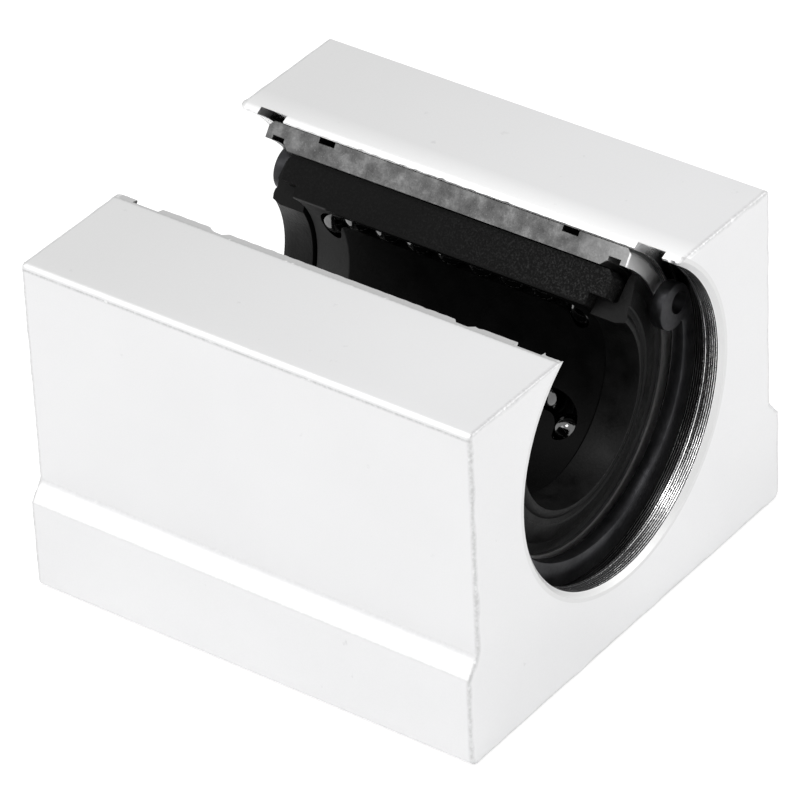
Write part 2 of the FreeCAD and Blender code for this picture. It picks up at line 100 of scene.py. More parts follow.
def lip_corners(radius, nick, lip):
    """Foot of the slot's lip and top end of the bore's arc. The arc ends at
    the slot's wall, or on the lip's slope where a groove cuts through it. A
    nick sets the wall back."""
    lip_run, lip_drop = lip
    wall = half_slot + nick
    arc_top = shaft_height + math.sqrt(radius**2 - wall**2)
    lip_foot = block_top - lip_drop + nick * lip_drop / lip_run
    if arc_top < lip_foot:
        return (wall, lip_foot), (wall, arc_top)
    run = np.linspace(wall, half_slot + lip_run, 400)
    slope = lip_foot + (run - wall) * lip_drop / lip_run
    on_arc = shaft_height + np.sqrt(radius**2 - run**2)
    meeting = int(np.argmin(np.abs(slope - on_arc)))
    return (run[meeting], slope[meeting]), (run[meeting], slope[meeting])


def half_outline(radius, nick, lip):
    """Right half of the block's cross-section, from the middle of its foot:
    foot, flange, shoulder, body, top and lip, to the top end of the bore."""
    foot, shoulder, crown = 0.8, 10.4, 0.5
    lip_foot, arc_top = lip_corners(radius, nick, lip)
    lip_head = half_slot + lip[0]
    tall = [shoulder + 0.2, shoulder + 0.4, 16, 24, 31.05, block_top - crown]
    return np.concatenate([
        run_through([(0, 0), (12, 0), (20, 0), (half_flange - foot, 0)], 10, 6, 2),
        arc((half_flange - foot, foot), foot, -90, 0, 8),
        run_through([(half_flange, foot), (half_flange, 8.35), (half_flange, 8.6)], 8, 1),
        arc((half_flange - 0.3, 8.6), 0.3, 0, 48, 4),
        run_through([(half_flange - 0.1, 8.83), (half_body + 0.12, shoulder - 0.13)], 5),
        run_through([(half_body + 0.03, shoulder + 0.02), (half_body, shoulder + 0.2)], 1),
        run_through([(half_body, z) for z in tall], 1, 4, 8, 6, 1),
        arc((half_body - crown, block_top - crown), crown, 0, 90, 8),
        run_through([(half_body - crown, block_top), (9.8, block_top), (9.4, block_top - 0.005),
                     (lip_head + 0.15, block_top - 0.012), (lip_head, block_top - 0.02)], 8, 1, 1, 1),
        run_through([(lip_head, block_top - 0.02), lip_foot, arc_top], 3, 1),
    ]), arc_top


def block_outline(radius, right_nick=0.0, left_nick=0.0):
    """Cross-section of the block, anticlockwise: its right half, the arc of
    the bore from right to left, and its left half back to the foot."""
    right, right_top = half_outline(radius, right_nick, right_lip)
    left, left_top = half_outline(radius, left_nick, left_lip)
    first = math.degrees(math.atan2(right_top[1] - shaft_height, right_top[0]))
    last = math.degrees(math.atan2(left_top[1] - shaft_height, -left_top[0])) - 360
    bore = arc((0, shaft_height), radius, first, last, bore_faces)
    return np.concatenate([right, bore, [[-left_top[0], left_top[1]]], left[1:][::-1] * (-1, 1)])


def outward(outline):
    """Unit normals of a closed anticlockwise outline: the direction from the
    point before to the point after, turned a quarter to the right."""
    along = np.roll(outline, -1, axis=0) - np.roll(outline, 1, axis=0)
    normal = np.stack([along[:, 1], -along[:, 0]], axis=1)
    return normal / np.maximum(np.hypot(normal[:, 0], normal[:, 1]), 1e-9)[:, None]


def ripple(count, waves, seed):
    """Uneven wave round a closed line, about 1 high: a sum of cosines with
    random whole numbers of waves and random phases."""
    draw = np.random.default_rng(seed)
    turns = draw.integers(1, waves, 40)
    phase = draw.uniform(0, 2 * np.pi, 40)
    share = np.arange(count)[:, None] / count
    return np.cos(2 * np.pi * turns * share + phase).sum(axis=1) / math.sqrt(20)


def grid_faces(rows, columns, around=False, flip=False, keep=None):
    """Four-sided faces between neighbours of a grid of points numbered row
    by row; around joins the last column to the first."""
    row, column = np.meshgrid(
        np.arange(rows - 1), np.arange(columns if around else columns - 1), indexing="ij"
    )
    after = (column + 1) % columns
    faces = np.stack([
        row * columns + column,
        (row + 1) * columns + column,
        (row + 1) * columns + after,
        row * columns + after,
    ], axis=-1)
    faces = faces.reshape(-1, 4) if keep is None else faces[keep]
    return faces[:, ::-1] if flip else faces


def filled(outline, lift, clockwise, holes=(), inside=()):
    """Flat face within a closed outline and outside its holes, as points and
    triangles that turn one way. lift turns flat points into places, and
    inside holds further points that the triangles meet."""
    loops = [np.asarray(outline), *holes]
    starts = np.cumsum([0] + [len(loop) for loop in loops])
    rings = [list(range(first, last)) for first, last in zip(starts[:-1], starts[1:])]
    flat, _, triangles, *_ = delaunay_2d_cdt(
        [Vector(point) for point in np.concatenate([*loops, *inside])], [], rings, 1, 1e-6
    )
    flat, triangles = np.array([tuple(point) for point in flat]), np.array(triangles)
    a, b, c = (flat[triangles[:, corner]] for corner in range(3))
    turn = (b[:, 0] - a[:, 0]) * (c[:, 1] - a[:, 1]) - (b[:, 1] - a[:, 1]) * (c[:, 0] - a[:, 0])
    if (turn.sum() < 0) != clockwise:
        triangles = triangles[:, ::-1]
    for hole in holes:
        centre = hole.mean(axis=0)
        radius = np.hypot(*(hole[0] - centre))
        outside = np.hypot(*((a + b + c) / 3 - centre).T) > radius * 0.999
        a, b, c, triangles = a[outside], b[outside], c[outside], triangles[outside]
    return lift(flat), [triangles]


def upright(y):
    """Lift for filled() that stands flat points in the plane at y."""
    return lambda flat: np.stack([flat[:, 0], np.full(len(flat), y), flat[:, 1]], axis=1)


def join_parts(name, parts, sharp=35):
    """Mesh of several parts, each its points in millimetres, its faces and,
    where it is worn, how much each point is. Points that meet are joined, all
    faces look outward, and edges over the sharp angle stay sharp."""
    faces = []
    first = 0
    for points, part_faces, *_wear in parts:
        for face_list in part_faces:
            faces += (np.asarray(face_list) + first).tolist()
        first += len(points)
    mesh = bpy.data.meshes.new(name)
    mesh.from_pydata(np.concatenate([part[0] for part in parts]) * MM, [], faces)
    if any(len(part) > 2 for part in parts):
        worn = [part[2] if len(part) > 2 else np.zeros(len(part[0])) for part in parts]
        column = mesh.attributes.new("worn", "FLOAT", "POINT")
        column.data.foreach_set("value", np.concatenate(worn).astype(np.float32))
    welded = bmesh.new()
    welded.from_mesh(mesh)
    bmesh.ops.remove_doubles(welded, verts=welded.verts, dist=2e-7)
    bmesh.ops.dissolve_degenerate(welded, edges=welded.edges, dist=1e-7)
    open_edges = [edge for edge in welded.edges if edge.is_boundary]
    bmesh.ops.holes_fill(welded, edges=open_edges, sides=0)
    bmesh.ops.recalc_face_normals(welded, faces=welded.faces)
    welded.to_mesh(mesh)
    welded.free()
    mesh.shade_smooth()
    mesh.set_sharp_from_angle(angle=math.radians(sharp))
    return mesh


def place(name, mesh, material, body, stands_for):
    """Object that shows a mesh, rides on a body and stands for CAD nodes."""
    piece = bpy.data.objects.new(name, mesh)
    bpy.context.scene.collection.objects.link(piece)
    mesh.materials.clear()
    mesh.materials.append(material)
    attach(piece, body)
    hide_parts(*stands_for)


def drilled(skin, rows, columns, flat_axes, clockwise, centre, rings, into):
    """Hole in a flat stretch of the skin: the stretch between two rows and two
    columns is filled again round the hole's circle, and the hole's wall is a
    grid of circles, each with its own radius and depth."""
    stretch = skin[rows[0]:rows[1] + 1, columns[0]:columns[1] + 1]
    edge_loop = np.concatenate([
        stretch[0, :-1], stretch[:-1, -1], stretch[-1, :0:-1], stretch[:0:-1, 0]
    ])
    centre = np.array(centre, float)
    first, second = flat_axes
    sides = 64
    turn = np.arange(sides) * 2 * np.pi / sides
    circle = np.zeros((sides, 3))
    circle[:, first], circle[:, second] = np.cos(turn), np.sin(turn)

    def lift(flat):
        placed = np.tile(edge_loop[0], (len(flat), 1))
        placed[:, [first, second]] = flat
        return placed

    mouth = centre + rings[0][0] * circle
    face = filled(edge_loop[:, [first, second]], lift, clockwise, [mouth[:, [first, second]]])
    wall = np.concatenate([
        centre + radius * circle + depth * np.array(into, float) for radius, depth in rings
    ])
    return [face, (wall, [grid_faces(len(rings), sides, around=True, flip=not clockwise)])]


# The bore from an end to the middle: distance from the middle, and how far the
# radius stands over that of the seat. The grooves have small bevels.
edge = 0.05
groove_depth = groove_radius - seat_radius
bore_steps = [(half_length, 0.4), (22.47, 0.37), (22.4, 0.3), (22.28, 0.18), (mouth_bevel_foot, 0.0)]
bore_steps += [(y, 0.008 * math.sin(n * 2.1) + 0.006 * math.sin(n * 5.3))
               for n, y in enumerate(np.arange(22.0, 20.7, -0.06))]
bore_steps += [(groove_outer + edge, 0.0), (groove_outer, edge), (groove_outer, groove_depth)]
bore_steps += [(y, groove_depth) for y in (20.3, 20, 19.5, 19, 18.4)]
bore_steps += [(groove_inner, groove_depth), (groove_inner, edge), (groove_inner - edge, 0.0)]
bore_steps += [(y, 0.0) for y in [*np.linspace(17.4, 11, 17), *np.linspace(10.6, 4, 17),
                                  *np.linspace(3.6, 0.0, 9)]]
stations = [(-y, rise) for y, rise in bore_steps] + [(y, rise) for y, rise in bore_steps[-2::-1]]

# Nicks and burrs of the slot's lips: from, to, and how far the wall is set back.
left_nicks = [(-22.5, -20.7, 0.45), (-14.2, -13.85, 0.3), (-13.6, -12.05, 0.5), (-9.0, -8.6, 0.08),
              (6.1, 6.6, -0.05), (11.3, 12.6, 0.5), (12.7, 17.0, -0.06)]
right_nicks = [(-21.9, -21.3, 0.12), (-5.5, -5.1, 0.08), (1.2, 1.5, 0.1), (9.4, 10.1, 0.07)]


def nick_at(y, nicks, seed):
    """Set-back of a lip at y: each nick's depth between its ends, with sides
    0.15 mm long, plus a small uneven wave."""
    wave = math.sin(y * 3.1 + seed) * math.sin(y * 7.7 + 2 * seed)
    depth = 0.035 * wave
    for start, end, back in nicks:
        depth += back * min(max(min(y - start, end - y) / 0.15 + 0.5, 0), 1)
    return depth


def worn_line(outline):
    """How much each point of an outline is worn: bells on the edges along
    the block, at its crown, its lip and both sides of its shoulder."""
    x, z = np.abs(outline[:, 0]), outline[:, 1]
    on_left = outline[:, 0] < 0
    lip_head = half_slot + np.where(on_left, left_lip[0], right_lip[0])
    lip_share = np.where(on_left, 0.8, 0.12)
    crown_edge = (half_body, 31.28, 0.08, 1.0)
    flange_edge = (22.43, 8.78, 0.1, 0.4)
    shoulder_edge = (half_body + 0.03, 10.45, 0.1, 0.25)
    lip_edge = (lip_head, 31.78, 0.1, lip_share)
    worn = np.zeros(len(outline))
    for edge_x, edge_z, width, share in (crown_edge, flange_edge, shoulder_edge, lip_edge):
        away = np.hypot(x - edge_x, z - edge_z)
        worn = np.maximum(worn, share * np.exp(-(away / width) ** 2))
    return worn


rows = []
wear = []
bore_start = len(half_outline(seat_radius, 0.0, right_lip)[0])
in_bore = slice(bore_start, bore_start + bore_faces + 1)
# The broken edge of a sawn end: inset and wear at each distance from the middle.
end_bevel = {half_length: (0.22, 0.4), 22.47: (0.12, 0.7), 22.4: (0.04, 0.7), 22.28: (0.0, 0.4)}


def room_behind(outline):
    """Share of an inset that each point has room for: all of it on the outer
    faces, less towards the thin lips, and a twentieth in the bore."""
    x, z = np.abs(outline[:, 0]), outline[:, 1]
    room = np.where(z > 31, np.clip((x - 8.5) / 1.5, 0.05, 1), 1.0)
    room[in_bore] = 0.05
    return room


for y, rise in stations:
    outline = block_outline(seat_radius + rise, nick_at(y, right_nicks, 1.3), nick_at(y, left_nicks, 4.1))
    worn = worn_line(outline)
    # The sawn ends have uneven broken edges.
    inset, end_wear = end_bevel.get(round(abs(y), 3), (0.0, 0.0))
    uneven = np.clip(1 + 0.3 * ripple(len(outline), 160, 3 if y < 0 else 4), 0.2, 1.7)
    room = room_behind(outline)
    outline = outline - outward(outline) * (inset * uneven * room)[:, None]
    end_line = np.full(len(outline), end_wear)
    end_line[in_bore] = 0
    wear.append(np.maximum(worn, end_line))
    rows.append(np.stack([outline[:, 0], np.full(len(outline), y), outline[:, 1]], axis=1))
skin = np.stack(rows)
station_count, outline_count = skin.shape[:2]


def between(places, low, high):
    """First and last index of the places that lie from low to high."""
    found = np.flatnonzero((places > low - 1e-6) & (places < high + 1e-6))
    return int(found[0]), int(found[-1])


# Four M5 holes are tapped in the foot, and a plain one for the locking screw
# runs in from the right side.
station_y = skin[:, 0, 1]
middle_x, middle_z = skin[station_count // 2][:, [0, 2]].T
elsewhere = 99.0
on_foot = np.where(middle_z < 1e-6, middle_x, elsewhere)
on_side = np.where(np.abs(middle_x - half_body) < 1e-6, middle_z, elsewhere)
core, crest, half_pitch = 2.1, 0.32, 0.4
thread = [(2.7, 0.0), (core, 0.6)]
thread += [(core + crest * (n % 2), 0.7 + half_pitch * n) for n in range(28)]
thread += [(core, 12.0), (0.0, 13.2)]
screw_hole = [(2.9, 0), (2.5, 0.4), (2.5, 7.14), (0.0, 7.14)]
reach = 4
keep = np.ones((station_count - 1, outline_count), bool)
block_parts = []
for x in (-16, 16):
    for y in (-15, 15):
        stretch = between(station_y, y - reach, y + reach), between(on_foot, x - reach, x + reach)
        keep[slice(*stretch[0]), slice(*stretch[1])] = False
        block_parts += drilled(skin, *stretch, (0, 1), True, (x, y, 0), thread, (0, 0, 1))
stretch = between(station_y, -reach, reach), between(on_side, shaft_height - reach, shaft_height + reach)
keep[slice(*stretch[0]), slice(*stretch[1])] = False
screw_mouth = (half_body, 0, shaft_height)
block_parts += drilled(skin, *stretch, (1, 2), False, screw_mouth, screw_hole, (-1, 0, 0))
skin_faces = grid_faces(station_count, outline_count, around=True, keep=keep)
block_parts.insert(0, (skin.reshape(-1, 3), [skin_faces], np.concatenate(wear)))
for station, y in ((0, -half_length), (-1, half_length)):
    # Points a little inside the rim keep the wear of the edge off the flat end.
    rim = skin[station][:, [0, 2]]
    margin = rim - outward(rim) * (0.22 * room_behind(rim))[:, None]
    end_points, end_faces = filled(rim, upright(y), y > 0, inside=[margin])
    to_rim = np.linalg.norm(end_points[:, None, [0, 2]] - rim, axis=2)
    rim_wear = np.where(to_rim.min(axis=1) < 1e-4, wear[station][to_rim.argmin(axis=1)], 0)
    block_parts.append((end_points, end_faces, rim_wear))


def grey(level):
    return (level, level, level)


class Finish:
    """A material under construction. Plain numbers are set on the surface
    itself, and add() makes a node and sets or links its inputs."""

    def __init__(self, name, **plain):
        self.material = bpy.data.materials.new(name)
        self.material.use_nodes = True
        self.tree = self.material.node_tree
        self.surface = self.tree.nodes["Principled BSDF"]
        self.place = self.add("ShaderNodeTexCoord", {}, out="Object")
        for socket, number in plain.items():
            self.surface.inputs[socket.replace("_", " ")].default_value = number

    def add(self, kind, inputs, out=0, **settings):
        step = self.tree.nodes.new(kind)
        for setting, choice in settings.items():
            setattr(step, setting, choice)
        for socket, source in inputs.items():
            self.link(step.inputs[socket], source)
        return step.outputs[out]

    def link(self, socket, source):
        if isinstance(source, bpy.types.NodeSocket):
            self.tree.links.new(source, socket)
        else:
            socket.default_value = source

    def stretched(self, scale, location=(0, 0, 0)):
        return self.add("ShaderNodeMapping", {"Vector": self.place, "Scale": scale, "Location": location})

    def noise(self, scale, detail=3, vector=None, roughness=0.55):
        source = self.place if vector is None else vector
        return self.add("ShaderNodeTexNoise", {
            "Vector": source, "Scale": scale, "Detail": detail, "Roughness": roughness,
        })

    def spread(self, source, low, high, first=0.0, last=1.0):
        """Turns low to high into first to last, and holds it outside."""
        return self.add("ShaderNodeMapRange", {
            "Value": source, "From Min": low, "From Max": high, "To Min": first, "To Max": last,
        })

    def past(self, source, level, blur):
        """0 before a level and 1 past it, with a blur to either side, both
        in millimetres."""
        return self.spread(source, (level - blur) * MM, (level + blur) * MM)

    def short_of(self, source, level, blur):
        """1 before a level and 0 past it, otherwise as past()."""
        return self.spread(source, (level - blur) * MM, (level + blur) * MM, 1.0, 0.0)

    def math(self, operation, a, b=0.0):
        return self.add("ShaderNodeMath", {0: a, 1: b}, operation=operation)

    def product(self, first, *others):
        for other in others:
            first = self.math("MULTIPLY", first, other)
        return first

    def coordinates(self):
        parts = self.add("ShaderNodeSeparateXYZ", {"Vector": self.place}).node
        return tuple(parts.outputs)

    def from_shaft(self):
        """Distance from the shaft's axis: the root of x squared plus the
        height over the axis squared."""
        x, _, z = self.coordinates()
        over = self.math("SUBTRACT", z, shaft_height * MM)
        return self.math("SQRT", self.math("ADD", self.product(x, x), self.product(over, over)))

    def shades(self, source, stops):
        ramp = self.tree.nodes.new("ShaderNodeValToRGB")
        while len(ramp.color_ramp.elements) < len(stops):
            ramp.color_ramp.elements.new(0.5)
        for element, (position, colour) in zip(ramp.color_ramp.elements, stops):
            element.position = position
            element.color = (*colour, 1)
        self.link(ramp.inputs[0], source)
        return ramp.outputs[0]

    def blend(self, share, first, second):
        mix = self.tree.nodes.new("ShaderNodeMix")
        mix.data_type = "RGBA"
        self.link(mix.inputs["Factor"], share)
        self.link(mix.inputs[6], first)
        self.link(mix.inputs[7], second)
        return mix.outputs[2]

    def tint(self, share, tone, level):
        """Tone turned by a share into an even grey of the given level."""
        return self.blend(share, tone, (*grey(level), 1))

    def relief(self, height, strength, depth, under=None):
        """Bump of the given depth in metres, on top of another one."""
        inputs = {"Height": height, "Strength": strength, "Distance": depth}
        if under is not None:
            inputs["Normal"] = under
        return self.add("ShaderNodeBump", inputs)

    def done(self, colour=None, roughness=None, normal=None):
        for socket, source in (("Base Color", colour), ("Roughness", roughness), ("Normal", normal)):
            if source is not None:
                self.link(self.surface.inputs[socket], source)
        return self.material


aluminium = Finish("blasted_aluminium", Metallic=1.0)
grain = aluminium.noise(7000, 4)
cloud = aluminium.noise(60, 2)
streak = aluminium.noise(1, 3, aluminium.stretched((1600, 25, 1600)))
place_x, place_y, place_z = aluminium.coordinates()
from_axis = aluminium.from_shaft()
beside = aluminium.math("ABSOLUTE", place_x)
endward = aluminium.math("ABSOLUTE", place_y)
# The bore is bright turned metal, with marks of the boring bar round it. Its
# circlip grooves are painted near black below the top, as painted shade in the
# recess, and the bevel at its mouth is greyer.
within = aluminium.short_of(from_axis, 14.78, 0.02)
turned_skin = aluminium.product(
    within, aluminium.short_of(endward, mouth_bevel_foot, 0.02), aluminium.short_of(place_z, 30.6, 0.6)
)
mouth_bevel = aluminium.product(within, aluminium.past(endward, mouth_bevel_foot + 0.02, 0.02))
painted_groove_shade = aluminium.product(
    turned_skin, aluminium.past(from_axis, 14.12, 0.04), aluminium.short_of(place_z, 29.5, 1.0)
)
turning = aluminium.add("ShaderNodeTexWave", {
    "Vector": aluminium.place, "Scale": 1500.0, "Distortion": 1.5, "Detail": 2.0, "Detail Scale": 0.5,
}, out="Fac", bands_direction="Y")
# The milled lips of the slot: the left one is a little greyer than the blasted
# faces, and the right one and the top beside it carry a painted highlight,
# brighter towards the front.
over_lip_foot = aluminium.past(place_z, 31.34, 0.02)
on_left_lip = aluminium.product(
    aluminium.short_of(beside, 9.035, 0.025), over_lip_foot, aluminium.math("LESS_THAN", place_x, 0.0)
)
painted_lip_highlight = aluminium.product(
    aluminium.short_of(place_x, 9.7, 1.5), aluminium.math("GREATER_THAN", place_x, 8 * MM),
    over_lip_foot, aluminium.spread(place_y, -10 * MM, 20 * MM, 1.0, 0.35),
)
# Worn edges are dotted with grey, where the skin is off, and with bright dents.
worn_skin = aluminium.add("ShaderNodeAttribute", {}, out="Fac", attribute_name="worn")
grey_dots = aluminium.product(worn_skin, aluminium.spread(aluminium.noise(3400, 3), 0.30, 0.62, 0.25, 0.85))
bright_dents = aluminium.product(worn_skin, aluminium.spread(aluminium.noise(1500, 2), 0.64, 0.70, 0.0, 0.6))
pits = aluminium.spread(aluminium.noise(620, 4), 0.70, 0.76, 0.0, 0.25)
# Painted shade: the top is darkened towards the rear, where less light falls.
painted_rear_shade = aluminium.product(aluminium.past(place_z, 31.6, 0.1), aluminium.past(place_y, 1, 17))
# The lines of the boring bar are broken up by specks.
speck = aluminium.noise(4200, 2)
breaking = aluminium.math("MULTIPLY", aluminium.math("SUBTRACT", speck, 0.5), 1.6)
cut_line = aluminium.spread(aluminium.math("ADD", turning, breaking), 0.25, 0.75)
cut_tone = aluminium.shades(cut_line, [(0.0, grey(0.34)), (0.45, grey(0.86)), (1.0, grey(0.99))])
tone = aluminium.shades(cloud, [(0.3, (0.755, 0.755, 0.76)), (0.7, (0.775, 0.775, 0.78))])
# Painted shade at the top's rear and a painted highlight at the right lip, with pits and the tones of the
# left lip and the mouth's bevel.
for share, level in (
    (painted_rear_shade, 0.69), (pits, 0.42), (on_left_lip, 0.52), (painted_lip_highlight, 0.97), (mouth_bevel, 0.70),
):
    tone = aluminium.tint(share, tone, level)
tone = aluminium.blend(turned_skin, tone, cut_tone)
# Painted shade in the grooves, then grey dots and bright dents on worn edges.
for share, level in ((painted_groove_shade, 0.06), (grey_dots, 0.42), (bright_dents, 0.98)):
    tone = aluminium.tint(share, tone, level)
blasted_gloss = aluminium.spread(grain, 0.3, 0.7, 0.44, 0.54)
gloss = aluminium.add("ShaderNodeMix", {0: turned_skin, 2: blasted_gloss, 3: 0.22}, data_type="FLOAT")
marks = aluminium.relief(streak, 0.08, 0.00002)
marks = aluminium.relief(grain, 0.18, 0.00003, marks)
marks = aluminium.relief(aluminium.product(turning, turned_skin), 0.8, 0.000025, marks)
marks = aluminium.relief(aluminium.product(speck, turned_skin), 0.5, 0.00004, marks)
aluminium_finish = aluminium.done(tone, gloss, marks)
place("block", join_parts("block", block_parts), aluminium_finish, "block", ["housing"])


# ----------------------------------------------------------------- sleeve
# The bushing's sleeve is bearing steel, turned, hardened and ground. Two
# grooves outside could hold clips, the mouths are thinner and have a groove
# inside, and four flats are the races. The slot is cut through it.
sleeve_middle = 0.8
sleeve_radius = 13.99
sleeve_bore = 11.9
mouth_radius = 12.4
catch_radius = 12.8
sleeve_half = 18.5
race_half_length = 11.965
race_half_width = 1.45
race_distance = 11.2
slot_edge = 53.5
# The four ball circuits: the angle of the loaded row, and the side of it on
# which the return row lies.
circuits = {
    "upper_right": (33, -1),
    "lower_right": (-39, -1),
    "lower_left": (219, 1),
    "upper_left": (147, 1),
}


def swept_ring(profile, middle, first, last, steps, rise=None, broken=0.05, lean=None):
    """Ring with two cut ends: a closed profile of (along, radius), along
    counted from the ring's middle, is turned about the shaft's axis from
    first to last degrees. rise(angle, along, radius) may move the radius, and
    lean(radius) turns the ends back by some degrees, less and less over the
    15 degrees behind them. The cut ends have broken edges."""
    profile = np.array(profile, float)
    normal = outward(profile)
    turn = (last - first) / abs(last - first)
    back = math.degrees(broken / 12) * turn
    angles = np.concatenate([[first], np.linspace(first + back, last - back, steps), [last]])
    shrink = np.zeros(len(angles))
    shrink[[0, -1]] = broken
    along = profile[None, :, 0] - shrink[:, None] * normal[None, :, 0]
    radius = profile[None, :, 1] - shrink[:, None] * normal[None, :, 1]
    angle = np.broadcast_to(np.radians(angles)[:, None], radius.shape)
    if lean is not None:
        from_first = np.abs(angles - first)[:, None]
        from_last = np.abs(angles - last)[:, None]
        back_share = np.clip(1 - from_first / 15, 0, 1) - np.clip(1 - from_last / 15, 0, 1)
        angle = angle + turn * np.radians(lean(radius)) * back_share
    if rise is not None:
        radius = rise(angle, along, radius)
    points = np.stack([
        radius * np.cos(angle), middle + along, shaft_height + radius * np.sin(angle)
    ], axis=-1)
    parts = [(points.reshape(-1, 3), [grid_faces(len(angles), len(profile), around=True, flip=turn > 0)])]
    for end in (0, -1):
        end_angle = np.radians(angles[end])
        sign = turn if end == 0 else -turn

        def lift(flat, end_angle=end_angle, sign=sign):
            tilt = 0 if lean is None else sign * np.radians(lean(flat[:, 1]))
            return np.stack([
                flat[:, 1] * np.cos(end_angle + tilt), middle + flat[:, 0],
                shaft_height + flat[:, 1] * np.sin(end_angle + tilt)
            ], axis=1)

        parts.append(filled(np.stack([along[end], radius[end]], axis=1), lift, end == -1))
    return parts


def near_row(angle, half_width, distance):
    """Radius of the flat at a ball row: the distance over the cosine of the
    angle to the row, and a large number beyond the flat's width."""
    flat = np.full(angle.shape, 99.0)
    for row, _ in circuits.values():
        off = np.mod(angle - math.radians(row) + np.pi, 2 * np.pi) - np.pi
        inside = np.abs(np.sin(off)) * distance < half_width
        flat = np.where(inside & (np.abs(off) < 1), distance / np.cos(off), flat)
    return flat


def with_races(angle, along, radius):
    """The sleeve's bore with its flats: the lesser of bore and flat."""
    reached = (np.abs(along) < race_half_length + 0.01) & (radius < sleeve_bore + 0.01)
    return np.where(reached, np.minimum(radius, near_row(angle, race_half_width, race_distance)), radius)


sleeve_end = [
    (11.65, sleeve_radius), (11.65, 13.49), (13.25, 13.49), (13.25, sleeve_radius),
    (18.05, sleeve_radius), (sleeve_half, 13.54), (sleeve_half, mouth_radius),
    (17.75, mouth_radius), (17.75, catch_radius), (16.6, catch_radius), (16.6, mouth_radius),
    (16.5, mouth_radius), (16.0, sleeve_bore), (race_half_length + 0.05, sleeve_bore),
    (race_half_length, sleeve_bore),
]
sleeve_profile = sleeve_end + [(-along, radius) for along, radius in reversed(sleeve_end)]
sleeve_profile = sleeve_profile[::-1]
steel = Finish("ground_steel", Metallic=1.0)
mottle = steel.noise(620, 5, roughness=0.65)
fine = steel.noise(5200, 3)
smear = steel.noise(1, 3, steel.stretched((900, 120, 900)))
steel_tone = steel.shades(mottle, [(0.3, grey(0.05)), (0.5, grey(0.09)), (0.7, grey(0.17))])
steel_tone = steel.tint(steel.spread(fine, 0.58, 0.72, 0.0, 0.35), steel_tone, 0.32)
# Towards the front end the sawn face is lighter, and the end itself is bright.
along_sleeve = steel.coordinates()[1]
lighter_to_front = steel.spread(along_sleeve, -17.5 * MM, -12.5 * MM, 0.55, 0.0)
steel_tone = steel.tint(lighter_to_front, steel_tone, 0.34)
steel_tone = steel.tint(steel.short_of(along_sleeve, -17.525, 0.025), steel_tone, 0.62)
steel_marks = steel.relief(smear, 0.3, 0.00003)
steel_marks = steel.relief(fine, 0.25, 0.00002, steel_marks)
steel_finish = steel.done(steel_tone, steel.spread(fine, 0.3, 0.7, 0.30, 0.5), steel_marks)
sleeve_parts = swept_ring(sleeve_profile, sleeve_middle, slot_edge, -180 - slot_edge, 260, with_races)
place("bushing_sleeve", join_parts("bushing_sleeve", sleeve_parts), steel_finish,
      "block", ["bearing_sleeve"])


# ------------------------------------------------------------------- cage
# The cage is one moulding of black acetal. Four endless lanes guide the balls,
# and each breaks through the cage's bore beside the shaft. The flats on its
# outside clear the sleeve's races.
cage_middle = 0.2
cage_outer = 11.82
cage_bore = 8.35
cage_half = 16.6
collar_seat = 9.5
collar_seat_end = 15.0
cage_setback = 0.6
lane_angle = 24
loaded_orbit = 9.6
return_orbit = 10.25
ball_radius = 3.175 / 2
lane_radius = ball_radius + 0.06
cage_race_end = 12.715
race_room = 0.15
lane_end = 10.665


def circuit_frame(angle, side):
    """Middle of a circuit and its three directions: across to the loaded
    row, along the shaft, and away from the shaft."""
    loaded = math.radians(angle)
    back = math.radians(angle + side * lane_angle)
    loaded_row = loaded_orbit * np.array([math.cos(loaded), 0, math.sin(loaded)])
    return_row = return_orbit * np.array([math.cos(back), 0, math.sin(back)])
    across = loaded_row - return_row
    turn_radius = np.linalg.norm(across) / 2
    across = across / (2 * turn_radius)
    along = np.array([0.0, side, 0.0])
    middle = (loaded_row + return_row) / 2 + (0, cage_middle, shaft_height)
    return middle, across, along, np.cross(across, along), turn_radius


def lane_solid(angle, side):
    """Endless trough: a round-bottomed section is carried along a line made
    of two straight runs and two half circles, in the circuit's own frame."""
    middle, across, along, away, turn_radius = circuit_frame(angle, side)
    bend_points = 33
    bend = np.radians(np.linspace(0, 180, bend_points))
    bend_line = np.stack([turn_radius * np.cos(bend), lane_end + turn_radius * np.sin(bend)], axis=1)
    line = np.concatenate([bend_line, -bend_line])
    heading = np.concatenate([np.stack([np.cos(bend), np.sin(bend)], axis=1)] * 2)
    heading[bend_points:] *= -1
    under = np.radians(np.linspace(180, 360, 21))
    trough_top = 4.4
    section = np.stack([lane_radius * np.cos(under), lane_radius * np.sin(under)], axis=1)
    section = np.concatenate([[[-lane_radius, trough_top]], section, [[lane_radius, trough_top]]])
    flat = line[:, None, :] + heading[:, None, :] * section[None, :, 0, None]
    height = np.broadcast_to(section[None, :, 1], flat.shape[:2])
    points = middle + flat[..., 0, None] * across + flat[..., 1, None] * along
    points = points + height[..., None] * away
    return points


def closed_band(points):
    """Faces of a section carried round a closed line: both ways round."""
    lines, count = points.shape[:2]
    line, place_in = np.meshgrid(np.arange(lines), np.arange(count), indexing="ij")
    after_line, after_place = (line + 1) % lines, (place_in + 1) % count
    return np.stack([
        line * count + place_in, after_line * count + place_in,
        after_line * count + after_place, line * count + after_place,
    ], axis=-1).reshape(-1, 4)


def over_races(angle, along, radius):
    """The cage's outside, lowered in a flat over each race of the sleeve."""
    reached = (np.abs(along) < cage_race_end + 0.01) & (radius > cage_outer - 0.01)
    flat = near_row(angle, race_half_width + race_room, race_distance - race_room)
    return np.where(reached, np.minimum(radius, flat), radius)


